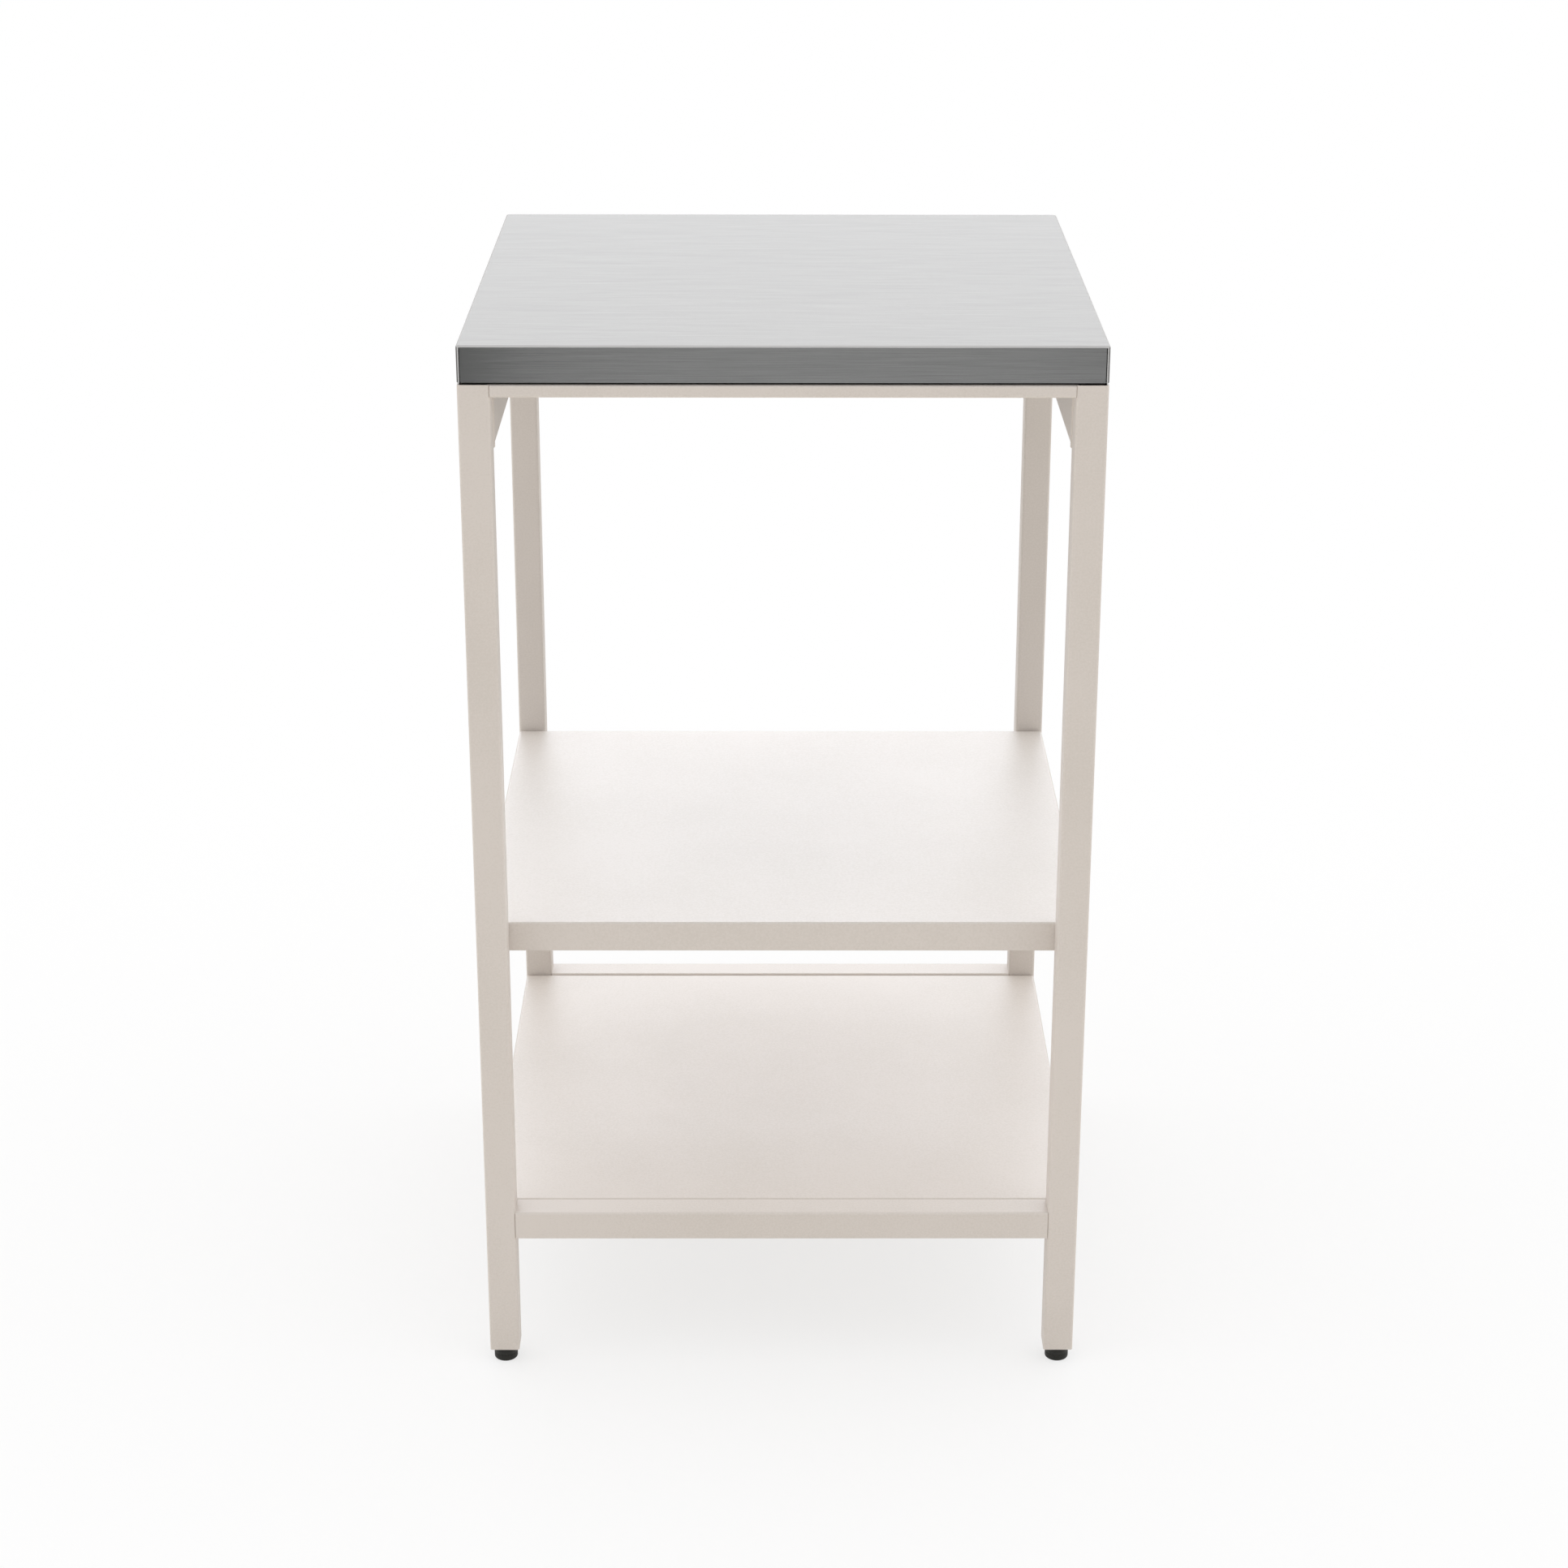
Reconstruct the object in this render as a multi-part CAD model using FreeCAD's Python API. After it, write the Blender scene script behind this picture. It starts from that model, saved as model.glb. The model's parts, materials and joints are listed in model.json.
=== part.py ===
import FreeCAD, Part
import math
import os

# Open module of an outdoor kitchen: stainless worktop on a square-tube frame with two tray shelves.
# Millimetres. Origin on the floor under the middle of the module, +Z up, front towards -Y.

# Overall sizes
overall_width = 500.0
overall_depth = 500.0
overall_height = 895.0

# Frame tubes
leg_size = 25.0
leg_radius = 2.0
tube_wall = 1.5
top_rail_height = 10.0
top_rail_radius = 2.0
side_rail_height = 56.0
side_rail_radius = 2.0
lower_rail_height = 25.0

# Worktop pan and the seal under it
worktop_height = 29.0
worktop_sheet = 1.2
worktop_inside_bend = 0.4
worktop_inside_corner = 1.8
worktop_lip_setback = 3.0
seal_thickness = 2.0
seal_inset = 4.0
seal_setback = 1.0

# Shelf trays: heights of their top faces above the floor, how far the lower one lies below its rails,
# then the fold sizes
middle_shelf_top = 402.5
lower_shelf_top = 145.2
lower_shelf_drop = 0.8
shelf_flange = 25.0
shelf_sheet = 1.5
shelf_inside_bend = 0.5
shelf_inside_corner = 1.0
shelf_lip = 12.0
shelf_side_inset = 0.5

# Hat-section stiffeners
hat_height = 16.0
hat_crown = 30.0
hat_foot = 14.0
hat_sheet = 1.2
hat_end_gap = 12.0
worktop_hat_spacing = 200.0

# Levelling feet
foot_height = 13.0
foot_diameter = 20.0
sole_height = 6.0
sole_edge = 1.5
knob_edge = 0.6
stud_diameter = 8.0
stud_reach = 30.0
stud_pin_diameter = 6.0
stud_pin_length = 4.0
insert_length = 24.0

# Fasteners
screw_diameter = 5.0
screw_head_diameter = 9.5
screw_head_height = 2.6
screw_socket = 3.0
screw_socket_depth = 1.6
shelf_screw_length = 12.0
rail_screw_length = 16.0
worktop_screw_length = 18.5
worktop_screw_spacing = 300.0
worktop_screw_setback = 3.5
rail_screw_offset = 3.0
rivet_nut_diameter = 7.0
rivet_nut_bulge = 9.0
rivet_nut_bulge_length = 2.5
rivet_nut_length = 8.5
rivet_nut_flange = 10.0
rivet_nut_flange_thickness = 0.5
washer_diameter = 10.0
washer_thickness = 0.5
weld_nut_diameter = 11.0
weld_nut_height = 4.0
end_block_length = 25.0
plug_depth = 4.0
plug_wall = 1.2

# Clearances
hole_clearance = 0.25
head_clearance = 0.75
thread_clearance = 0.05
insert_clearance = 0.1
pin_end_clearance = 0.2

# Levels and lines that follow from the sizes above
frame_top = overall_height - worktop_height - seal_thickness
leg_x = overall_width / 2 - leg_size / 2
leg_y = overall_depth / 2 - leg_size / 2
bay_width = overall_width - 2 * leg_size
bay_depth = overall_depth - 2 * leg_size
worktop_lip = leg_size - worktop_lip_setback
seal_width = worktop_lip - seal_inset - seal_setback
access_hole_diameter = screw_head_diameter + 2 * head_clearance
shelf_gap = rivet_nut_flange_thickness + washer_thickness
shelf_width = overall_width - 2 * shelf_side_inset
shelf_depth = bay_depth - 2 * shelf_gap
shelf_tops = {"middle": middle_shelf_top, "lower": lower_shelf_top}
top_rail_middle = frame_top - top_rail_height / 2
lower_rail_middle = lower_shelf_top + lower_shelf_drop - lower_rail_height / 2
rail_levels = {"top": top_rail_middle, "lower": lower_rail_middle}
rail_screw_y = leg_y + rail_screw_offset
worktop_screw_y = leg_y - worktop_screw_setback
corners = {"front_left": (-1, -1), "front_right": (1, -1), "rear_left": (-1, 1), "rear_right": (1, 1)}

origin = FreeCAD.Vector(0, 0, 0)
along_x = FreeCAD.Vector(1, 0, 0)
along_y = FreeCAD.Vector(0, 1, 0)
along_z = FreeCAD.Vector(0, 0, 1)


def point(x, y, z):
    return FreeCAD.Vector(x, y, z)


def centred_box(width, depth, height, bottom):
    return Part.makeBox(width, depth, height, point(-width / 2, -depth / 2, bottom))


def rod(diameter, length, start, direction):
    return Part.makeCylinder(diameter / 2, length, start, direction)


def placed(shape, position, direction):
    copy = shape.copy()
    copy.Placement = FreeCAD.Placement(position, FreeCAD.Rotation(along_z, direction))
    return copy


def group(solids):
    return Part.makeCompound(solids)


def rounded_rectangle(width, depth, radius):
    # Face in the XY plane, its four corners quarter arcs
    arcs = []
    for quarter, (sx, sy) in enumerate([(1, 1), (-1, 1), (-1, -1), (1, -1)]):
        centre = point(sx * (width / 2 - radius), sy * (depth / 2 - radius), 0)
        angles = [math.radians(90 * quarter + step) for step in (0, 45, 90)]
        arcs.append([centre + point(math.cos(a), math.sin(a), 0) * radius for a in angles])
    edges = []
    for quarter, arc in enumerate(arcs):
        following = arcs[(quarter + 1) % len(arcs)]
        edges.append(Part.Arc(*arc).toShape())
        edges.append(Part.LineSegment(arc[-1], following[0]).toShape())
    return Part.Face(Part.Wire(edges))


def rounded_bar(width, depth, radius, length):
    return rounded_rectangle(width, depth, radius).extrude(point(0, 0, length))


def inner_radius(radius):
    return max(radius - tube_wall, tube_wall / 2)


def tube(width, depth, radius, length):
    # Welded rectangular tube standing on the XY plane
    hollow = rounded_bar(width - 2 * tube_wall, depth - 2 * tube_wall, inner_radius(radius), length)
    return rounded_bar(width, depth, radius, length).cut(hollow)


def laid_along_x(shape, length):
    shape.rotate(origin, along_y, 90)
    shape.translate(point(-length / 2, 0, 0))
    return shape


def laid_along_y(shape, length):
    shape.rotate(origin, along_x, -90)
    shape.translate(point(0, -length / 2, 0))
    return shape


def edges_at_top(shape, level):
    return [edge for edge in shape.Edges if abs(edge.BoundBox.ZMin - level) < 1e-6]


def pan_block(width, depth, height, corner, bend):
    block = rounded_bar(width, depth, corner, height)
    return block.makeFillet(bend, edges_at_top(block, height))


def folded_pan(width, depth, height, sheet, bend, corner, lip):
    # Sheet folded down on all four sides, corners closed, with a lip turned in at the bottom.
    # The bend and corner radii are those inside the fold.
    outside = pan_block(width, depth, height, corner + sheet, bend + sheet)
    inside = pan_block(width - 2 * sheet, depth - 2 * sheet, height - 2 * sheet, corner, bend)
    inside.translate(point(0, 0, sheet))
    mouth = centred_box(width - 2 * lip, depth - 2 * lip, 2 * sheet, 0)
    return outside.cut(inside).cut(mouth)


def hat_section(length):
    # Open hat along X, its two feet level with z = 0 and its crown below
    total = hat_crown + 2 * hat_foot
    groove = hat_crown - 2 * hat_sheet
    feet = centred_box(length, total, hat_sheet, -hat_sheet)
    crown = centred_box(length, hat_crown, hat_height, -hat_height)
    return feet.fuse(crown).cut(centred_box(length, groove, hat_height - hat_sheet, hat_sheet - hat_height))


def hex_prism(across_flats, height):
    corner = across_flats / math.sqrt(3)
    turns = [math.radians(60 * i) for i in range(6)]
    points = [point(corner * math.cos(a), corner * math.sin(a), 0) for a in turns]
    return Part.Face(Part.makePolygon(points + points[:1])).extrude(point(0, 0, height))


def screw(length):
    # Button-head screw: shank up from z = 0, head below it
    head = rod(screw_head_diameter, screw_head_height, point(0, 0, -screw_head_height), along_z)
    crown = [edge for edge in head.Edges if abs(edge.BoundBox.ZMax + screw_head_height) < 1e-6]
    head = head.makeFillet(screw_head_height / 2, crown)
    socket = hex_prism(screw_socket, screw_socket_depth)
    socket.translate(point(0, 0, -screw_head_height))
    shank = rod(screw_diameter, length, origin, along_z)
    return head.cut(socket).fuse(shank)


def threaded_bore(length, start, direction):
    return rod(screw_diameter + 2 * thread_clearance, length, start, direction)


def clearance_hole(length, start, direction):
    return rod(screw_diameter + 2 * hole_clearance, length, start, direction)


def shelf_screw_level(shelf):
    return shelf_tops[shelf] - shelf_flange / 2


def leg(corner):
    sx, sy = corners[corner]
    length = frame_top - foot_height
    body = tube(leg_size, leg_size, leg_radius, length)
    body.translate(point(sx * leg_x, sy * leg_y, foot_height))
    inner_y = sy * (overall_depth / 2 - leg_size)
    for shelf in shelf_tops:
        start = point(sx * leg_x, inner_y, shelf_screw_level(shelf))
        body = body.cut(rod(rivet_nut_diameter, 2 * tube_wall, start, along_y * sy))
    for level in rail_levels.values():
        inner = point(sx * (overall_width / 2 - leg_size), sy * rail_screw_y, level)
        body = body.cut(clearance_hole(2 * tube_wall, inner, along_x * sx))
    # The top rail's screw is reached through the open top of the tube, the lower one through its side
    outer = point(sx * overall_width / 2, sy * rail_screw_y, lower_rail_middle)
    return body.cut(rod(access_hole_diameter, 2 * tube_wall, outer, along_x * -sx))


def side_rail(side):
    rail = laid_along_y(tube(leg_size, side_rail_height, side_rail_radius, bay_depth), bay_depth)
    rail.translate(point(side * leg_x, 0, frame_top - side_rail_height / 2))
    return rail


def top_rail(end):
    rail = laid_along_x(tube(top_rail_height, leg_size, top_rail_radius, bay_width), bay_width)
    rail.translate(point(0, end * leg_y, top_rail_middle))
    for side in (-1, 1):
        start = point(side * worktop_screw_spacing / 2, end * worktop_screw_y, frame_top - top_rail_height)
        rail = rail.cut(clearance_hole(top_rail_height, start, along_z))
    return rail


def lower_rail(end):
    rail = laid_along_x(tube(lower_rail_height, leg_size, leg_radius, bay_width), bay_width)
    rail.translate(point(0, end * leg_y, lower_rail_middle))
    return rail


def end_blocks(rail_height, rail_radius, level):
    # One threaded block in each end of the front and rear rail
    shrink = 2 * (tube_wall + insert_clearance)
    blocks = []
    for sx, sy in corners.values():
        block = rounded_bar(rail_height - shrink, leg_size - shrink, inner_radius(rail_radius),
                            end_block_length)
        block = laid_along_x(block, end_block_length)
        block.translate(point(sx * (bay_width - end_block_length) / 2, sy * leg_y, level))
        start = point(sx * bay_width / 2, sy * rail_screw_y, level)
        blocks.append(block.cut(threaded_bore(end_block_length, start, along_x * -sx)))
    return group(blocks)


def rail_screws(level):
    # Heads bear on the inside of the leg's inner wall
    seat_x = bay_width / 2 + tube_wall
    screws = []
    for sx, sy in corners.values():
        seat = point(sx * seat_x, sy * rail_screw_y, level)
        screws.append(placed(screw(rail_screw_length), seat, along_x * -sx))
    return group(screws)


def hole_plug():
    # Flush disc with a short hollow stem, its outer face at z = 0 and its stem below
    diameter = access_hole_diameter - 2 * insert_clearance
    body = rod(diameter, plug_depth, point(0, 0, -plug_depth), along_z)
    hollow = rod(diameter - 2 * plug_wall, plug_depth - plug_wall, point(0, 0, -plug_depth), along_z)
    return body.cut(hollow)


def hole_plugs():
    plugs = []
    for sx, sy in corners.values():
        mouth = point(sx * overall_width / 2, sy * rail_screw_y, lower_rail_middle)
        plugs.append(placed(hole_plug(), mouth, along_x * sx))
    return group(plugs)


def shelf_corner_points(shelf, distance):
    # One point per leg on the line of its shelf screw, the given distance in from the leg's inner face
    y = bay_depth / 2 - distance
    return [(point(sx * leg_x, sy * y, shelf_screw_level(shelf)), sy) for sx, sy in corners.values()]


def shelf_tray(shelf):
    tray = folded_pan(shelf_width, shelf_depth, shelf_flange, shelf_sheet, shelf_inside_bend,
                      shelf_inside_corner, shelf_lip)
    tray.translate(point(0, 0, shelf_tops[shelf] - shelf_flange))
    for start, sy in shelf_corner_points(shelf, shelf_gap):
        tray = tray.cut(clearance_hole(2 * shelf_sheet, start, along_y * -sy))
    return tray


def shelf_stiffener(shelf):
    hat = hat_section(shelf_width - 2 * hat_end_gap)
    hat.translate(point(0, 0, shelf_tops[shelf] - shelf_sheet))
    return hat


def rivet_nut():
    # Flange on the outside of the wall, body up through the wall and bulged behind it
    outside = point(0, 0, -rivet_nut_flange_thickness)
    flange = rod(rivet_nut_flange, rivet_nut_flange_thickness, outside, along_z)
    body = rod(rivet_nut_diameter - 2 * thread_clearance, rivet_nut_length, origin, along_z)
    bulge = rod(rivet_nut_bulge, rivet_nut_bulge_length, point(0, 0, tube_wall), along_z)
    bore = threaded_bore(rivet_nut_flange_thickness + rivet_nut_length, outside, along_z)
    return flange.fuse(body).fuse(bulge).cut(bore)


def shelf_rivet_nuts(shelf):
    return group([placed(rivet_nut(), at, along_y * sy) for at, sy in shelf_corner_points(shelf, 0)])


def shelf_washers(shelf):
    ring = rod(washer_diameter, washer_thickness, origin, along_z)
    ring = ring.cut(clearance_hole(washer_thickness, origin, along_z))
    return group([placed(ring, at, along_y * sy) for at, sy in shelf_corner_points(shelf, shelf_gap)])


def shelf_screws(shelf):
    return group([placed(screw(shelf_screw_length), at, along_y * sy)
                  for at, sy in shelf_corner_points(shelf, shelf_gap + shelf_sheet)])


def worktop_screw_points(level):
    x = worktop_screw_spacing / 2
    return [point(sx * x, sy * worktop_screw_y, level) for sx, sy in corners.values()]


def worktop():
    pan = folded_pan(overall_width, overall_depth, worktop_height, worktop_sheet, worktop_inside_bend,
                     worktop_inside_corner, worktop_lip)
    pan.translate(point(0, 0, frame_top + seal_thickness))
    for start in worktop_screw_points(frame_top + seal_thickness):
        pan = pan.cut(clearance_hole(worktop_sheet, start, along_z))
    return pan


def seal_strips():
    # Front and rear strips run the full width, the side strips fit between them
    outer_width = overall_width - 2 * seal_inset
    outer_depth = overall_depth - 2 * seal_inset
    strips = []
    for end in (-1, 1):
        strip = centred_box(outer_width, seal_width, seal_thickness, frame_top)
        strip.translate(point(0, end * (outer_depth - seal_width) / 2, 0))
        for start in worktop_screw_points(frame_top):
            strip = strip.cut(clearance_hole(seal_thickness, start, along_z))
        strips.append(strip)
    for side in (-1, 1):
        strip = centred_box(seal_width, outer_depth - 2 * seal_width, seal_thickness, frame_top)
        strip.translate(point(side * (outer_width - seal_width) / 2, 0, 0))
        strips.append(strip)
    return group(strips)


def worktop_stiffener(side):
    hat = hat_section(overall_depth - 2 * worktop_lip - 2 * hat_end_gap)
    hat.rotate(origin, along_z, 90)
    hat.translate(point(side * worktop_hat_spacing / 2, 0, overall_height - worktop_sheet))
    return hat


def worktop_weld_nuts():
    level = frame_top + seal_thickness + worktop_sheet
    nut = rod(weld_nut_diameter, weld_nut_height, origin, along_z)
    nut = nut.cut(threaded_bore(weld_nut_height, origin, along_z))
    return group([placed(nut, at, along_z) for at in worktop_screw_points(level)])


def worktop_screws():
    heads = worktop_screw_points(frame_top - top_rail_height)
    return group([placed(screw(worktop_screw_length), at, along_z) for at in heads])


def foot_insert(corner):
    sx, sy = corners[corner]
    side = leg_size - 2 * (tube_wall + insert_clearance)
    body = rounded_bar(side, side, inner_radius(leg_radius), insert_length)
    body = body.cut(rod(stud_diameter + 2 * thread_clearance, insert_length, origin, along_z))
    body.translate(point(sx * leg_x, sy * leg_y, foot_height))
    return body


def foot_stud(corner):
    sx, sy = corners[corner]
    rise = foot_height + stud_reach - sole_height
    thread = rod(stud_diameter, rise, point(0, 0, sole_height), along_z)
    tip = [edge for edge in thread.Edges if abs(edge.BoundBox.ZMin - sole_height - rise) < 1e-6]
    thread = thread.makeChamfer(stud_diameter / 8, tip)
    pin = rod(stud_pin_diameter, stud_pin_length, point(0, 0, sole_height - stud_pin_length), along_z)
    stud = thread.fuse(pin)
    stud.translate(point(sx * leg_x, sy * leg_y, 0))
    return stud


def foot_knob(corner):
    sx, sy = corners[corner]
    height = foot_height - sole_height
    knob = rod(foot_diameter, height, point(0, 0, sole_height), along_z)
    rim = [edge for edge in knob.Edges if abs(edge.BoundBox.ZMin - foot_height) < 1e-6]
    knob = knob.makeFillet(knob_edge, rim)
    knob = knob.cut(rod(stud_diameter + 2 * thread_clearance, height, point(0, 0, sole_height), along_z))
    knob.translate(point(sx * leg_x, sy * leg_y, 0))
    return knob


def foot_sole(corner):
    sx, sy = corners[corner]
    sole = rod(foot_diameter, sole_height, origin, along_z)
    rim = [edge for edge in sole.Edges if abs(edge.BoundBox.ZMax) < 1e-6]
    sole = sole.makeFillet(sole_edge, rim)
    depth = stud_pin_length + pin_end_clearance
    socket = rod(stud_pin_diameter + 2 * thread_clearance, depth, point(0, 0, sole_height - depth), along_z)
    sole = sole.cut(socket)
    sole.translate(point(sx * leg_x, sy * leg_y, 0))
    return sole


def build():
    nodes = {}
    nodes["worktop"] = worktop()
    nodes["worktop_seal_strips"] = seal_strips()
    nodes["worktop_weld_nuts"] = worktop_weld_nuts()
    nodes["worktop_screws"] = worktop_screws()
    nodes["frame_hole_plugs"] = hole_plugs()
    nodes["front_top_rail"] = top_rail(-1)
    nodes["rear_top_rail"] = top_rail(1)
    nodes["lower_front_rail"] = lower_rail(-1)
    nodes["lower_rear_rail"] = lower_rail(1)
    nodes["top_rail_end_blocks"] = end_blocks(top_rail_height, top_rail_radius, top_rail_middle)
    nodes["lower_rail_end_blocks"] = end_blocks(lower_rail_height, leg_radius, lower_rail_middle)
    for rail, level in rail_levels.items():
        nodes[rail + "_rail_screws"] = rail_screws(level)
    for side, sign in (("left", -1), ("right", 1)):
        nodes["side_rail_" + side] = side_rail(sign)
        nodes["worktop_stiffener_" + side] = worktop_stiffener(sign)
    for shelf in shelf_tops:
        nodes[shelf + "_shelf"] = shelf_tray(shelf)
        nodes[shelf + "_shelf_stiffener"] = shelf_stiffener(shelf)
        nodes[shelf + "_shelf_rivet_nuts"] = shelf_rivet_nuts(shelf)
        nodes[shelf + "_shelf_washers"] = shelf_washers(shelf)
        nodes[shelf + "_shelf_screws"] = shelf_screws(shelf)
    for corner in corners:
        nodes["leg_" + corner] = leg(corner)
        nodes["foot_insert_" + corner] = foot_insert(corner)
        nodes["foot_stud_" + corner] = foot_stud(corner)
        nodes["foot_knob_" + corner] = foot_knob(corner)
        nodes["foot_sole_" + corner] = foot_sole(corner)
    return nodes


os.makedirs("parts", exist_ok=True)
for name, shape in build().items():
    shape.exportStep(os.path.join("parts", name + ".step"))
    print(name, "solids", len(shape.Solids), "valid", shape.isValid(), "volume", round(shape.Volume, 1))
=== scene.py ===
import json
import math

import bmesh
import bpy
from mathutils import Matrix, Vector

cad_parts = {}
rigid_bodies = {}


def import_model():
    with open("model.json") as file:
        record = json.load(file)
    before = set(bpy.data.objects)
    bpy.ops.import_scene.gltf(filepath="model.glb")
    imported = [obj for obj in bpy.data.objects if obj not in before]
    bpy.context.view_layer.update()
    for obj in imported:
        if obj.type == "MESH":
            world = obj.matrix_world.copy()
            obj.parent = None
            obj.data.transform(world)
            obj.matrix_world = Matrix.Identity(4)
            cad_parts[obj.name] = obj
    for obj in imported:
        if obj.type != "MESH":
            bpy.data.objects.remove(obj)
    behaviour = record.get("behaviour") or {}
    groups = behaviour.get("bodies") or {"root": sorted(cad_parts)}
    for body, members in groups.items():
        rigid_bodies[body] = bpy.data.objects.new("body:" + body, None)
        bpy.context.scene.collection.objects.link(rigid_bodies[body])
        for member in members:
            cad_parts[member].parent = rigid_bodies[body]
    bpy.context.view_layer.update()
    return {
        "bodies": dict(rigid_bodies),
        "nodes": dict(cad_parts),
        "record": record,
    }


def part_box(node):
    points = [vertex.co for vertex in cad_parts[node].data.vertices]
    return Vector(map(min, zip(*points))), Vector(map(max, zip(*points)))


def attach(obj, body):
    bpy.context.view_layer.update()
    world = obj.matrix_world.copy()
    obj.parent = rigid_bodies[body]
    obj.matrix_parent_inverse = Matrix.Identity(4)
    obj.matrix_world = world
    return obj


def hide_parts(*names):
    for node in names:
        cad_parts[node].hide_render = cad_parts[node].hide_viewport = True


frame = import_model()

corners = ["front_left", "front_right", "rear_left", "rear_right"]


def hexToLinear(code):
    shares = [int(code[i:i + 2], 16) / 255 for i in (1, 3, 5)]
    return [s / 12.92 if s <= 0.04045 else ((s + 0.055) / 1.055) ** 2.4 for s in shares] + [1.0]


def perMetre(millimetres):
    return 1000 / millimetres  # texture scale that gives features of this size


def addNode(tree, kind, settings=None, values=None, links=None):
    node = tree.nodes.new(kind)
    for name, value in (settings or {}).items():
        setattr(node, name, value)
    for name, value in (values or {}).items():
        node.inputs[name].default_value = value
    for name, source in (links or {}).items():
        tree.links.new(source, node.inputs[name])
    return node


def newMaterial(name):
    material = bpy.data.materials.new(name)
    material.use_nodes = True
    material.node_tree.nodes.clear()
    return material, material.node_tree


def setRamp(ramp, places, colours):
    # a new ramp has two stops, which is all that these need
    for element, place, colour in zip(ramp.color_ramp.elements, places, colours):
        element.position = place
        element.color = hexToLinear(colour)


def grey(level):
    return (level, level, level, 1.0)


stainlessSpec = {
    "dark": "#b5b4b3", "light": "#c3c2c1",    # scratch bottoms and the steel between them
    "scratchWidthMm": 0.6,                    # real belt marks are near 0.1 mm, drawn wider so they show
    "scratchLengthMm": 60,
    "cloudMm": 90,                            # slow change in how hard the belt pressed
    "cloudShare": 0.08,
    "tintRange": (0.36, 0.60),                # grain values that are darkest and lightest
    "roughness": (0.16, 0.21),
    "bumpMm": 0.0008,
    "sideFace": 0.7,                          # how far a face turns to X before its grain stands upright
}


def brushedStainless():
    # Austenitic sheet brushed with a belt: straight fine scratches, a soft streaky reflection, no colour
    spec = stainlessSpec
    material, tree = newMaterial("stainlessSheetBrushed")
    place = addNode(tree, "ShaderNodeTexCoord")
    long, wide = perMetre(spec["scratchLengthMm"]), perMetre(spec["scratchWidthMm"])
    level = addNode(tree, "ShaderNodeMapping", values={"Scale": (long, wide, wide)},
                    links={"Vector": place.outputs["Object"]})
    upright = addNode(tree, "ShaderNodeMapping", values={"Scale": (wide, wide, long)},
                      links={"Vector": place.outputs["Object"]})
    scratches = {"Scale": 1.0, "Detail": 5.0, "Roughness": 0.62}
    levelGrain = addNode(tree, "ShaderNodeTexNoise", values=scratches,
                         links={"Vector": level.outputs["Vector"]})
    uprightGrain = addNode(tree, "ShaderNodeTexNoise", values=scratches,
                           links={"Vector": upright.outputs["Vector"]})
    # the sheet was brushed flat, so its grain runs over the fold and down the two ends
    facing = addNode(tree, "ShaderNodeSeparateXYZ", links={"Vector": place.outputs["Normal"]})
    turned = addNode(tree, "ShaderNodeMath", {"operation": "ABSOLUTE"}, links={0: facing.outputs["X"]})
    isSide = addNode(tree, "ShaderNodeMath", {"operation": "GREATER_THAN"}, {1: spec["sideFace"]},
                     {0: turned.outputs[0]})
    grain = addNode(tree, "ShaderNodeMix", {"data_type": "FLOAT"},
                    links={"Factor": isSide.outputs[0], "A": levelGrain.outputs["Fac"],
                           "B": uprightGrain.outputs["Fac"]})
    cloud = addNode(tree, "ShaderNodeTexNoise", values={"Scale": perMetre(spec["cloudMm"]), "Detail": 3.0},
                    links={"Vector": place.outputs["Object"]})
    share = spec["cloudShare"]
    marks = addNode(tree, "ShaderNodeMath", {"operation": "MULTIPLY_ADD"}, {1: share, 2: -share / 2},
                    {0: cloud.outputs["Fac"]})
    mixed = addNode(tree, "ShaderNodeMath", {"operation": "ADD"},
                    links={0: grain.outputs["Result"], 1: marks.outputs[0]})
    tint = addNode(tree, "ShaderNodeValToRGB", links={"Fac": mixed.outputs[0]})
    setRamp(tint, spec["tintRange"], (spec["dark"], spec["light"]))
    low, high = spec["roughness"]
    polish = addNode(tree, "ShaderNodeMapRange",
                     values={"From Min": 0.3, "From Max": 0.7, "To Min": high, "To Max": low},
                     links={"Value": mixed.outputs[0]})
    bump = addNode(tree, "ShaderNodeBump", values={"Strength": 0.6, "Distance": spec["bumpMm"] / 1000},
                   links={"Height": grain.outputs["Result"]})
    shader = addNode(tree, "ShaderNodeBsdfPrincipled", values={"Metallic": 1.0},
                     links={"Base Color": tint.outputs["Color"], "Roughness": polish.outputs["Result"],
                            "Normal": bump.outputs["Normal"]})
    addNode(tree, "ShaderNodeOutputMaterial", links={"Surface": shader.outputs["BSDF"]})
    return material


powderSpec = {
    "thin": "#ddd6cf", "thick": "#e3dcd6",    # the film over edges and in the flat
    "grainMm": 1.8,                           # cured grain is about 0.6 mm, drawn coarser so it shows
    "driftMm": 140,                           # slow change in film thickness
    "grainShare": 0.55,
    "tintRange": (0.38, 0.58),
    "roughness": (0.40, 0.50),
    "ior": 1.55,
    "bumpMm": 0.035,
}


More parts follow.
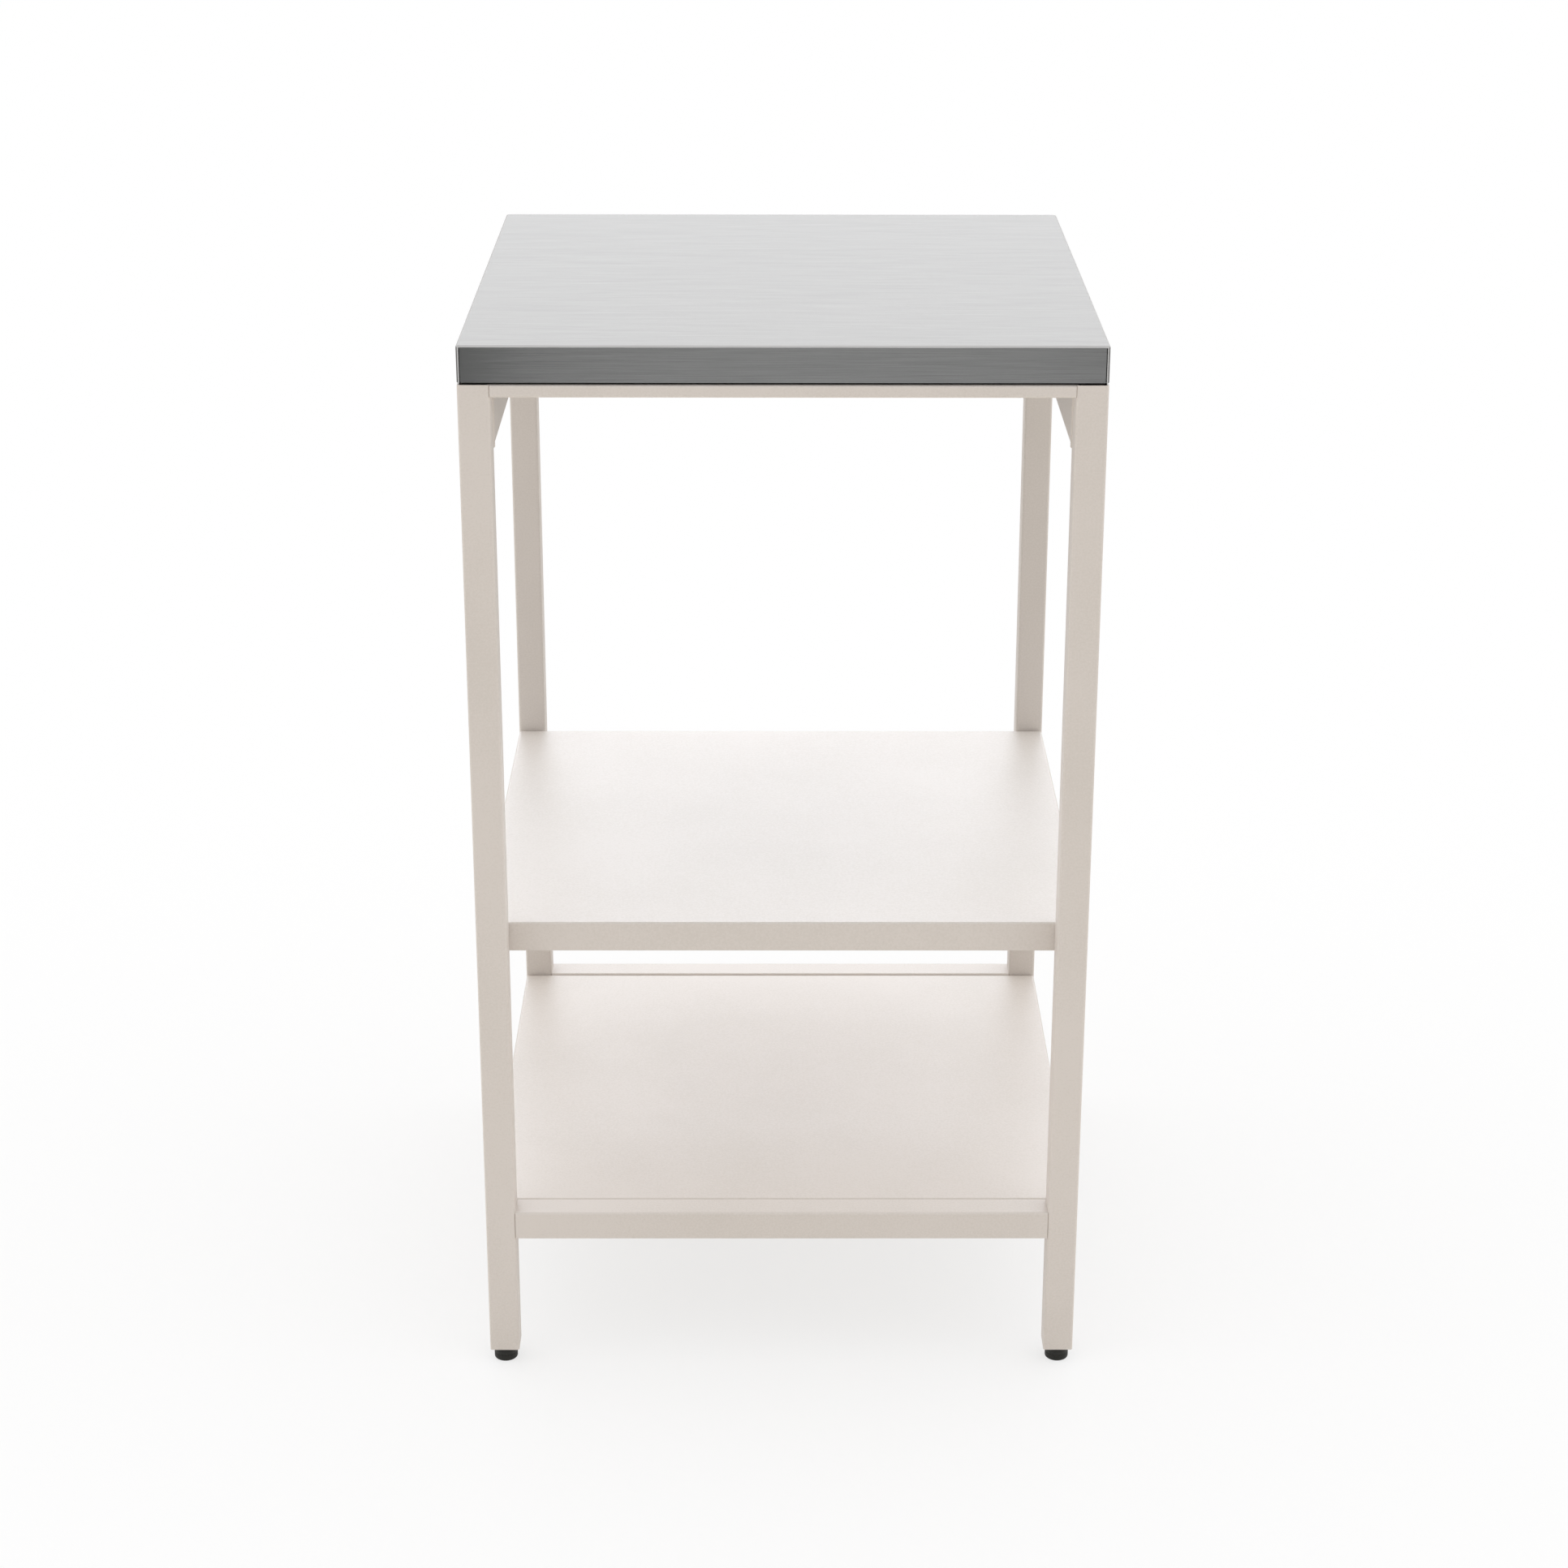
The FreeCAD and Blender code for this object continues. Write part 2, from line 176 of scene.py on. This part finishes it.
def powderCoat():
    # Polyester powder cured on steel: even sand beige, fine orange peel, a broad soft sheen
    spec = powderSpec
    material, tree = newMaterial("polyesterPowderCoatCured")
    place = addNode(tree, "ShaderNodeTexCoord")
    grain = addNode(tree, "ShaderNodeTexNoise",
                    values={"Scale": perMetre(spec["grainMm"]), "Detail": 2.5, "Roughness": 0.55},
                    links={"Vector": place.outputs["Object"]})
    drift = addNode(tree, "ShaderNodeTexNoise", values={"Scale": perMetre(spec["driftMm"]), "Detail": 3.0},
                    links={"Vector": place.outputs["Object"]})
    film = addNode(tree, "ShaderNodeMix", {"data_type": "FLOAT"}, {"Factor": spec["grainShare"]},
                   {"A": drift.outputs["Fac"], "B": grain.outputs["Fac"]})
    tint = addNode(tree, "ShaderNodeValToRGB", links={"Fac": film.outputs["Result"]})
    setRamp(tint, spec["tintRange"], (spec["thin"], spec["thick"]))
    low, high = spec["roughness"]
    sheen = addNode(tree, "ShaderNodeMapRange",
                    values={"From Min": 0.3, "From Max": 0.7, "To Min": high, "To Max": low},
                    links={"Value": grain.outputs["Fac"]})
    bump = addNode(tree, "ShaderNodeBump", values={"Strength": 0.5, "Distance": spec["bumpMm"] / 1000},
                   links={"Height": grain.outputs["Fac"]})
    shader = addNode(tree, "ShaderNodeBsdfPrincipled", values={"IOR": spec["ior"]},
                     links={"Base Color": tint.outputs["Color"], "Roughness": sheen.outputs["Result"],
                            "Normal": bump.outputs["Normal"]})
    addNode(tree, "ShaderNodeOutputMaterial", links={"Surface": shader.outputs["BSDF"]})
    return material


zincSpec = {
    "dull": "#b4b7b9", "bright": "#d3d6d8",
    "spangleMm": 1.4,
    "fineShare": 0.5,
    "tintRange": (0.25, 0.65),
    "roughness": (0.26, 0.46),
    "bumpMm": 0.01,
}


def zincPlate():
    # Steel plated with zinc and passivated: cool grey, a little patchy, satin shine
    spec = zincSpec
    material, tree = newMaterial("steelZincPlated")
    place = addNode(tree, "ShaderNodeTexCoord")
    patch = addNode(tree, "ShaderNodeTexVoronoi", values={"Scale": perMetre(spec["spangleMm"])},
                    links={"Vector": place.outputs["Object"]})
    fine = addNode(tree, "ShaderNodeTexNoise",
                   values={"Scale": perMetre(spec["spangleMm"] / 3), "Detail": 4.0},
                   links={"Vector": place.outputs["Object"]})
    blend = addNode(tree, "ShaderNodeMix", {"data_type": "FLOAT"}, {"Factor": spec["fineShare"]},
                    {"A": patch.outputs["Distance"], "B": fine.outputs["Fac"]})
    tint = addNode(tree, "ShaderNodeValToRGB", links={"Fac": blend.outputs["Result"]})
    setRamp(tint, spec["tintRange"], (spec["dull"], spec["bright"]))
    low, high = spec["roughness"]
    satin = addNode(tree, "ShaderNodeMapRange", values={"To Min": high, "To Max": low},
                    links={"Value": blend.outputs["Result"]})
    bump = addNode(tree, "ShaderNodeBump", values={"Strength": 0.4, "Distance": spec["bumpMm"] / 1000},
                   links={"Height": fine.outputs["Fac"]})
    shader = addNode(tree, "ShaderNodeBsdfPrincipled", values={"Metallic": 1.0},
                     links={"Base Color": tint.outputs["Color"], "Roughness": satin.outputs["Result"],
                            "Normal": bump.outputs["Normal"]})
    addNode(tree, "ShaderNodeOutputMaterial", links={"Surface": shader.outputs["BSDF"]})
    return material


mouldedSpecs = {
    # black polyamide, spark-eroded mould: matt with a fine even grain that catches a grey sheen
    "foot_plastic": {"name": "polyamideMouldedBlack", "low": "#1a1a17", "high": "#252520", "grainMm": 0.9,
                     "roughness": (0.42, 0.60), "ior": 1.53, "specular": 0.3, "bumpMm": 0.03},
    # glass-filled nylon block pressed into the tube: black, drier and coarser than the foot
    "insert_nylon": {"name": "nylonGlassFilledMoulded", "low": "#151513", "high": "#20201e", "grainMm": 1.4,
                     "roughness": (0.50, 0.70), "ior": 1.53, "specular": 0.3, "bumpMm": 0.04},
    # polyethylene plug in the frame's colour: smoother than the coat, slightly waxy
    "plug_plastic": {"name": "polyethyleneMouldedSand", "low": "#d3cabf", "high": "#dad2c8", "grainMm": 1.2,
                     "roughness": (0.34, 0.46), "ior": 1.51, "specular": 0.5, "bumpMm": 0.015},
    # closed-cell rubber strip: soft black, pitted by its cells, no shine
    "seal": {"name": "rubberSpongeStrip", "low": "#171614", "high": "#2a2825", "grainMm": 0.8,
             "roughness": (0.80, 0.95), "ior": 1.5, "specular": 0.3, "bumpMm": 0.12},
}
mouldedTintRange = (0.34, 0.66)


def mouldedPlastic(spec):
    material, tree = newMaterial(spec["name"])
    place = addNode(tree, "ShaderNodeTexCoord")
    grain = addNode(tree, "ShaderNodeTexNoise",
                    values={"Scale": perMetre(spec["grainMm"]), "Detail": 4.0, "Roughness": 0.6},
                    links={"Vector": place.outputs["Object"]})
    tint = addNode(tree, "ShaderNodeValToRGB", links={"Fac": grain.outputs["Fac"]})
    setRamp(tint, mouldedTintRange, (spec["low"], spec["high"]))
    low, high = spec["roughness"]
    sheen = addNode(tree, "ShaderNodeMapRange",
                    values={"From Min": 0.3, "From Max": 0.7, "To Min": high, "To Max": low},
                    links={"Value": grain.outputs["Fac"]})
    bump = addNode(tree, "ShaderNodeBump", values={"Strength": 0.5, "Distance": spec["bumpMm"] / 1000},
                   links={"Height": grain.outputs["Fac"]})
    shader = addNode(tree, "ShaderNodeBsdfPrincipled",
                     values={"IOR": spec["ior"], "Specular IOR Level": spec["specular"]},
                     links={"Base Color": tint.outputs["Color"], "Roughness": sheen.outputs["Result"],
                            "Normal": bump.outputs["Normal"]})
    addNode(tree, "ShaderNodeOutputMaterial", links={"Surface": shader.outputs["BSDF"]})
    return material


finishes = {"stainless": brushedStainless(), "powder_coat": powderCoat(), "zinc_steel": zincPlate()}
for slotName, spec in mouldedSpecs.items():
    finishes[slotName] = mouldedPlastic(spec)
for row in frame["record"]["subparts"]:
    mesh = frame["nodes"][row["node"]].data
    mesh.materials.clear()
    mesh.materials.append(finishes[row["material_slot"]])
print("finishes made:", ", ".join(sorted(finishes)))


meshSpec = {
    "merge": 1e-6,    # points closer than this are one
    "same": 1e-5,     # levels and radii closer than this are the same
    "cut": 1e-7,      # points this close to a cutting plane lie on it
    "sharpDeg": 38,
}


def newPiece(name, bm, body, slotName, replaced=None):
    bmesh.ops.remove_doubles(bm, verts=bm.verts, dist=meshSpec["merge"])
    bmesh.ops.recalc_face_normals(bm, faces=bm.faces)
    mesh = bpy.data.meshes.new(name)
    bm.to_mesh(mesh)
    bm.free()
    mesh.shade_smooth()
    mesh.set_sharp_from_angle(angle=math.radians(meshSpec["sharpDeg"]))
    mesh.materials.append(finishes[slotName])
    piece = bpy.data.objects.new(name, mesh)
    bpy.context.scene.collection.objects.link(piece)
    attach(piece, body)
    if replaced:
        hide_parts(replaced)
    return piece


def spunOutline(outline, centre, steps):
    # outline is (radius, height) pairs, closed or running from axis to axis
    bm = bmesh.new()
    verts = [bm.verts.new((centre.x + radius, centre.y, height)) for radius, height in outline]
    ring = zip(verts, verts[1:] + verts[:1])
    edges = [bm.edges.new(pair) for pair in ring if pair[0].co.x > centre.x or pair[1].co.x > centre.x]
    bmesh.ops.spin(bm, geom=verts + edges, cent=(centre.x, centre.y, 0), axis=(0, 0, 1),
                   angle=2 * math.pi, steps=steps, use_merge=True)
    bmesh.ops.remove_doubles(bm, verts=bm.verts, dist=meshSpec["merge"])
    bmesh.ops.recalc_face_normals(bm, faces=bm.faces)
    return bm


def roundRim(bm, centre, radius, height, size, segments):
    def onRim(vert):
        away = math.hypot(vert.co.x - centre.x, vert.co.y - centre.y)
        return abs(vert.co.z - height) < meshSpec["same"] and abs(away - radius) < meshSpec["same"]
    rim = [edge for edge in bm.edges if onRim(edge.verts[0]) and onRim(edge.verts[1])]
    bmesh.ops.bevel(bm, geom=rim, offset=size, affect="EDGES", segments=segments, profile=0.5, material=-1)


footSpec = {
    "steps": 72,
    "soleRound": (0.0015, 6),     # rounding under the sole: size and segments
    "partingEdge": (0.00025, 2),  # small break on both sides of the line between sole and knob
    "knobEdge": (0.0007, 4),      # rounding under the leg
    "pinRoom": 0.00005,           # play round the pin and the stud
    "pinEndRoom": 0.0002,
}


def footCentre(corner):
    low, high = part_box("foot_knob_" + corner)
    return (low + high) / 2, (high.x - low.x) / 2


def footSole(corner):
    spec = footSpec
    centre, radius = footCentre(corner)
    low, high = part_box("foot_sole_" + corner)
    pinLow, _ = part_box("foot_stud_" + corner)
    bore = studSpec["pinRadius"] + spec["pinRoom"]
    floor = pinLow.z - spec["pinEndRoom"]
    outline = [(0, low.z), (radius, low.z), (radius, high.z), (bore, high.z), (bore, floor), (0, floor)]
    bm = spunOutline(outline, centre, spec["steps"])
    roundRim(bm, centre, radius, low.z, *spec["soleRound"])
    roundRim(bm, centre, radius, high.z, *spec["partingEdge"])
    return newPiece("footSole_" + corner, bm, "foot_%s_glide" % corner, "foot_plastic", "foot_sole_" + corner)


def footKnob(corner):
    spec = footSpec
    centre, radius = footCentre(corner)
    low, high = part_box("foot_knob_" + corner)
    bore = studSpec["crestRadius"] + spec["pinRoom"]
    outline = [(bore, low.z), (radius, low.z), (radius, high.z), (bore, high.z)]
    bm = spunOutline(outline, centre, spec["steps"])
    roundRim(bm, centre, radius, low.z, *spec["partingEdge"])
    roundRim(bm, centre, radius, high.z, *spec["knobEdge"])
    return newPiece("footKnob_" + corner, bm, "foot_%s_screw" % corner, "foot_plastic", "foot_knob_" + corner)


studSpec = {
    "crestRadius": 0.004,
    "pinRadius": 0.003,
    "pitch": 0.00125,       # the foot drops this far in one turn
    "threadDepth": 0.00077,
    "stepsPerTurn": 40,
}


def footStud(corner):
    spec = studSpec
    centre, _ = footCentre(corner)
    low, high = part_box("foot_stud_" + corner)
    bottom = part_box("foot_knob_" + corner)[0].z
    crest, pitch, steps = spec["crestRadius"], spec["pitch"], spec["stepsPerTurn"]
    root = crest - spec["threadDepth"]
    turns = math.ceil((high.z - bottom) / pitch) + 2
    # one tooth: root flat of a quarter pitch, flank, crest flat of an eighth, flank,
    # carried once round and then copied up the axis
    tooth = [(root, 0), (root, pitch / 4), (crest, 9 * pitch / 16), (crest, 11 * pitch / 16), (root, pitch)]
    bm = bmesh.new()
    verts = [bm.verts.new((centre.x + r, centre.y, bottom - 1.5 * pitch + z)) for r, z in tooth]
    edges = [bm.edges.new(pair) for pair in zip(verts, verts[1:])]
    bmesh.ops.spin(bm, geom=verts + edges, cent=(centre.x, centre.y, 0), axis=(0, 0, 1),
                   dvec=(0, 0, pitch / steps), angle=2 * math.pi, steps=steps)
    oneTurn = bm.verts[:] + bm.edges[:] + bm.faces[:]
    for turn in range(1, turns):
        copied = bmesh.ops.duplicate(bm, geom=oneTurn)["geom"]
        raised = [part for part in copied if isinstance(part, bmesh.types.BMVert)]
        bmesh.ops.translate(bm, vec=(0, 0, pitch * turn), verts=raised)
    bmesh.ops.remove_doubles(bm, verts=bm.verts, dist=meshSpec["merge"])
    for level, outward in ((bottom, -1), (high.z, 1)):
        everything = bm.verts[:] + bm.edges[:] + bm.faces[:]
        bmesh.ops.bisect_plane(bm, geom=everything, dist=meshSpec["cut"], plane_co=(0, 0, level),
                               plane_no=(0, 0, outward), clear_outer=True)
        rim = [edge for edge in bm.edges
               if edge.is_boundary and abs(edge.verts[0].co.z - level) < meshSpec["merge"]]
        bmesh.ops.edgeloop_fill(bm, edges=rim)
    length = bottom - low.z
    pin = spec["pinRadius"]
    bmesh.ops.create_cone(bm, cap_ends=True, segments=steps, radius1=pin, radius2=pin, depth=length,
                          matrix=Matrix.Translation((centre.x, centre.y, low.z + length / 2)))
    return newPiece("footStud_" + corner, bm, "foot_%s_screw" % corner, "zinc_steel", "foot_stud_" + corner)


for corner in corners:
    footSole(corner)
    footKnob(corner)
    footStud(corner)
print("feet modelled:", len(corners))

weldSpec = {
    "radius": 0.0016,       # bead in the groove at the tube's rounded edge
    "underRadius": 0.0021,  # corner bead under the rail
    "ripple": 0.0022,       # length of one ripple
    "swell": 1.13,          # how much each ripple stands out
    "endShare": 0.7,        # how thick the bead is where it starts and stops
    "sides": 14,
    "sink": 0.0006,         # how far the bead's middle lies behind the face
    "endGap": 0.003,
}


def weldBead(bm, start, end, radius):
    # a round bead from start to end, swelling and narrowing with each ripple of the pool
    spec = weldSpec
    run = end - start
    count = max(4, 2 * round(run.length / spec["ripple"]))
    turn = run.to_track_quat("Z", "Y").to_matrix().to_4x4()
    first = bmesh.ops.create_circle(bm, cap_ends=True, segments=spec["sides"],
                                    radius=radius * spec["endShare"],
                                    matrix=Matrix.Translation(start) @ turn)
    face = first["verts"][0].link_faces[0]
    for step in range(1, count + 1):
        grown = bmesh.ops.extrude_discrete_faces(bm, faces=[face])
        face = grown["faces"][0]
        centre = start + run * step / count
        verts = list(face.verts)
        bmesh.ops.translate(bm, vec=run / count, verts=verts)
        wanted = radius * (spec["endShare"] if step == count else spec["swell"] if step % 2 else 1.0)
        now = (verts[0].co - centre).length
        bmesh.ops.scale(bm, vec=Vector((1, 1, 1)) * wanted / now, verts=verts,
                        space=Matrix.Translation(-centre))


def sideRailWelds(side):
    spec = weldSpec
    low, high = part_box("side_rail_" + side)
    inner = low.x if side == "right" else high.x
    outer = high.x if side == "right" else low.x
    intoTube = math.copysign(1, outer - inner)
    bm = bmesh.new()
    for y in (low.y, high.y):
        beyond = math.copysign(spec["sink"], y)
        x = inner + intoTube * spec["sink"]
        top = high.z - spec["endGap"]
        weldBead(bm, Vector((x, y + beyond, low.z)), Vector((x, y + beyond, top)), spec["radius"])
        z = low.z - spec["sink"]
        near = inner + intoTube * spec["endGap"]
        far = outer - intoTube * spec["endGap"]
        weldBead(bm, Vector((near, y - beyond, z)), Vector((far, y - beyond, z)), spec["underRadius"])
    return newPiece("sideRailWelds_" + side, bm, "module_frame", "powder_coat")


for side in ("left", "right"):
    sideRailWelds(side)
print("welds laid")

studioSpec = {
    "floorSize": 40.0,
    "floorColour": "#f4efe8",
    "floorGlow": 0.70,         # share of plain white in what the camera sees of the floor
    "aim": (0, 0, 0.5),
}
roomLight = {
    # what falls on the object from each side: colour and level, 1 is plain white
    "ceiling": ("#ffffff", 1.35),
    "backWall": ("#ffffff", 0.90),
    "sideWalls": ("#ffffff", 1.27),
    "cameraSide": ("#fff0e2", 0.07),
}
mirrorCards = {
    # screens that only reflections show: middle and size in metres, how far each runs on along the floor
    # and how far it is turned from facing the camera
    "feltScreenGrey": {"colour": "#a6a9ab", "middle": (0.105, -3.1, 0.55), "size": (1.25, 1.1),
                       "apron": 1.5},
    "feltScreenLeft": {"colour": "#1a1a1a", "middle": (-1.36, -3.1, 0.55), "size": (1.68, 1.1),
                       "apron": 1.5},
    "feltScreenRight": {"colour": "#1a1a1a", "middle": (1.565, -3.1, 0.55), "size": (1.67, 1.1),
                        "apron": 1.5},
    "feltSideLeft": {"colour": "#8c8c8c", "middle": (-1.2, 0.9, 0.475), "size": (2.6, 0.95),
                     "turnDeg": 90},
    "feltSideRight": {"colour": "#8c8c8c", "middle": (1.2, 0.9, 0.475), "size": (2.6, 0.95),
                      "turnDeg": 90},
    "feltStripBehind": {"colour": "#d8d8d8", "middle": (0, 0.6, 0.86), "size": (2.0, 0.16)},
    "feltLowBehind": {"colour": "#b8b8b8", "middle": (0, 2.0, 0.3), "size": (1.2, 0.6), "apron": -1.5},
    "diffuserBehind": {"colour": "#ffffff", "middle": (0, 0.42, 1.08), "size": (3.0, 0.36), "glow": 0.93},
}
apronLift = 0.004  # keeps the aprons clear of the floor
softboxes = {
    "backSoftbox": {"place": (0, 3.0, 1.95), "size": (5.0, 0.8), "level": 7.6, "colour": "#f0f6ff"},
}


def seenByEye(tree):
    # 1 for what the camera, a reflection or a glass sees directly, else 0
    path = addNode(tree, "ShaderNodeLightPath")
    either = addNode(tree, "ShaderNodeMath", {"operation": "MAXIMUM"},
                     links={0: path.outputs["Is Camera Ray"], 1: path.outputs["Is Glossy Ray"]})
    return addNode(tree, "ShaderNodeMath", {"operation": "MAXIMUM"},
                   links={0: either.outputs[0], 1: path.outputs["Is Transmission Ray"]})


def stagePlane(name, material, size, matrix):
    bm = bmesh.new()
    bmesh.ops.create_grid(bm, x_segments=1, y_segments=1, size=0.5,
                          matrix=matrix @ Matrix.Diagonal((size[0], size[1], 1, 1)))
    mesh = bpy.data.meshes.new(name)
    bm.to_mesh(mesh)
    bm.free()
    mesh.materials.append(material)
    plane = bpy.data.objects.new(name, mesh)
    bpy.context.scene.collection.objects.link(plane)
    return plane


def paperFloor():
    # matt white paper, with the background's white added where it is looked at, so the shadow stays
    spec = studioSpec
    material, tree = newMaterial("paperMattWhite")
    white = hexToLinear(spec["floorColour"])
    share = 1 - spec["floorGlow"]
    level = {side: strength for side, (colour, strength) in roomLight.items()}
    # light on an open floor: half from the ceiling, a quarter from the side walls, an eighth from each end
    arriving = level["ceiling"] / 2 + level["sideWalls"] / 4 + (level["backWall"] + level["cameraSide"]) / 8
    bounce = addNode(tree, "ShaderNodeBsdfDiffuse", values={"Color": white})
    shade = addNode(tree, "ShaderNodeBsdfDiffuse", values={"Color": grey(share / arriving)})
    glow = addNode(tree, "ShaderNodeEmission", values={"Color": grey(1.0), "Strength": spec["floorGlow"]})
    looked = addNode(tree, "ShaderNodeAddShader", links={0: shade.outputs[0], 1: glow.outputs[0]})
    seen = seenByEye(tree)
    both = addNode(tree, "ShaderNodeMixShader",
                   links={"Fac": seen.outputs[0], 1: bounce.outputs[0], 2: looked.outputs[0]})
    addNode(tree, "ShaderNodeOutputMaterial", links={"Surface": both.outputs[0]})
    return stagePlane("paperFloor", material, (spec["floorSize"], spec["floorSize"]), Matrix.Identity(4))


def standOnLowestFoot(floor):
    # the floor stays under whichever foot is screwed furthest out
    for corner in corners:
        limit = floor.constraints.new("FLOOR")
        limit.target = frame["bodies"]["foot_%s_glide" % corner]
        limit.floor_location = "FLOOR_NEGATIVE_Z"


def mirroredScreens():
    # kept out of the picture and out of the light: they only give the steel and the coat something to mirror
    upright = Matrix.Rotation(math.radians(90), 4, "X")
    for name, spec in mirrorCards.items():
        material, tree = newMaterial(name)
        cloth = addNode(tree, "ShaderNodeBsdfDiffuse", values={"Color": hexToLinear(spec["colour"])})
        if "glow" in spec:
            cloth = addNode(tree, "ShaderNodeEmission",
                            values={"Color": hexToLinear(spec["colour"]), "Strength": spec["glow"]})
        addNode(tree, "ShaderNodeOutputMaterial", links={"Surface": cloth.outputs[0]})
        x, y, _ = spec["middle"]
        turn = Matrix.Rotation(math.radians(spec.get("turnDeg", 0)), 4, "Z")
        sheets = {name: (spec["size"], Matrix.Translation(spec["middle"]) @ turn @ upright)}
        if "apron" in spec:
            lying = Matrix.Translation((x, y + spec["apron"] / 2, apronLift))
            sheets[name + "Apron"] = ((spec["size"][0], abs(spec["apron"])), lying)
        for sheet, (size, matrix) in sheets.items():
            card = stagePlane(sheet, material, size, matrix)
            card.visible_camera = False
            card.visible_diffuse = False
            card.visible_shadow = False


def studioLight():
    spec = studioSpec
    world = bpy.data.worlds.new("studioWhite")
    bpy.context.scene.world = world
    world.use_nodes = True
    tree = world.node_tree
    tree.nodes.clear()
    tint = {side: [share * level for share in hexToLinear(colour)[:3]]
            for side, (colour, level) in roomLight.items()}
    place = addNode(tree, "ShaderNodeTexCoord")
    way = addNode(tree, "ShaderNodeSeparateXYZ", links={"Vector": place.outputs["Generated"]})
    squared = addNode(tree, "ShaderNodeVectorMath", {"operation": "MULTIPLY"},
                      links={0: place.outputs["Generated"], 1: place.outputs["Generated"]})
    weight = addNode(tree, "ShaderNodeSeparateXYZ", links={"Vector": squared.outputs["Vector"]})
    ahead = addNode(tree, "ShaderNodeMath", {"operation": "LESS_THAN"}, {1: 0.0}, {0: way.outputs["Y"]})
    ends = addNode(tree, "ShaderNodeMix", {"data_type": "VECTOR"},
                   {4: tint["backWall"], 5: tint["cameraSide"]}, {"Factor": ahead.outputs[0]})
    fromEnds = addNode(tree, "ShaderNodeVectorMath", {"operation": "SCALE"},
                       links={"Vector": ends.outputs[1], "Scale": weight.outputs["Y"]})
    fromSides = addNode(tree, "ShaderNodeVectorMath", {"operation": "SCALE"}, {"Vector": tint["sideWalls"]},
                        {"Scale": weight.outputs["X"]})
    fromAbove = addNode(tree, "ShaderNodeVectorMath", {"operation": "SCALE"}, {"Vector": tint["ceiling"]},
                        {"Scale": weight.outputs["Z"]})
    walls = addNode(tree, "ShaderNodeVectorMath", {"operation": "ADD"},
                    links={0: fromEnds.outputs["Vector"], 1: fromSides.outputs["Vector"]})
    room = addNode(tree, "ShaderNodeVectorMath", {"operation": "ADD"},
                   links={0: walls.outputs["Vector"], 1: fromAbove.outputs["Vector"]})
    seen = seenByEye(tree)
    shown = addNode(tree, "ShaderNodeMix", {"data_type": "VECTOR"}, {5: (1.0, 1.0, 1.0)},
                    {"Factor": seen.outputs[0], 4: room.outputs["Vector"]})
    back = addNode(tree, "ShaderNodeBackground", links={"Color": shown.outputs[1]})
    addNode(tree, "ShaderNodeOutputWorld", links={"Surface": back.outputs[0]})
    for name, box in softboxes.items():
        lamp = bpy.data.lights.new(name, "AREA")
        lamp.shape = "RECTANGLE"
        lamp.size, lamp.size_y = box["size"]
        lamp.energy = box["level"] * math.pi * lamp.size * lamp.size_y  # watts that give this brightness
        lamp.color = hexToLinear(box["colour"])[:3]
        softbox = bpy.data.objects.new(name, lamp)
        place = Vector(box["place"])
        aim = (Vector(spec["aim"]) - place).to_track_quat("-Z", "Y")
        softbox.matrix_world = Matrix.Translation(place) @ aim.to_matrix().to_4x4()
        softbox.visible_camera = False
        softbox.visible_diffuse = False  # a sheen on the shelves, no more
        bpy.context.scene.collection.objects.link(softbox)


standOnLowestFoot(paperFloor())
mirroredScreens()
studioLight()
print("studio set")

cameraSpec = {
    "lens": 72.68, "sensor": 36,
    "location": (-0.00849, -2.60867, 1.47314),
    "pitchDeg": 20.392, "yawDeg": 0.235, "rollDeg": -0.107,
    "shiftY": -0.04507,                         # the picture was cropped a little low
}


def photoCamera():
    spec = cameraSpec
    pitch, yaw, roll = (math.radians(spec[k]) for k in ("pitchDeg", "yawDeg", "rollDeg"))
    forward = Vector((math.sin(yaw) * math.cos(pitch), math.cos(yaw) * math.cos(pitch), -math.sin(pitch)))
    right = Vector((math.cos(yaw), -math.sin(yaw), 0))
    down = forward.cross(right)
    across = math.cos(roll) * right + math.sin(roll) * down
    below = math.cos(roll) * down - math.sin(roll) * right
    data = bpy.data.cameras.new("photoCamera")
    data.lens = spec["lens"]
    data.sensor_width = spec["sensor"]
    data.shift_y = spec["shiftY"]
    camera = bpy.data.objects.new("photoCamera", data)
    turn = Matrix((across, -below, -forward)).transposed().to_4x4()
    camera.matrix_world = Matrix.Translation(spec["location"]) @ turn
    bpy.context.scene.collection.objects.link(camera)
    bpy.context.scene.camera = camera


photoCamera()
bpy.context.scene.view_settings.view_transform = "Standard"
print("camera placed")
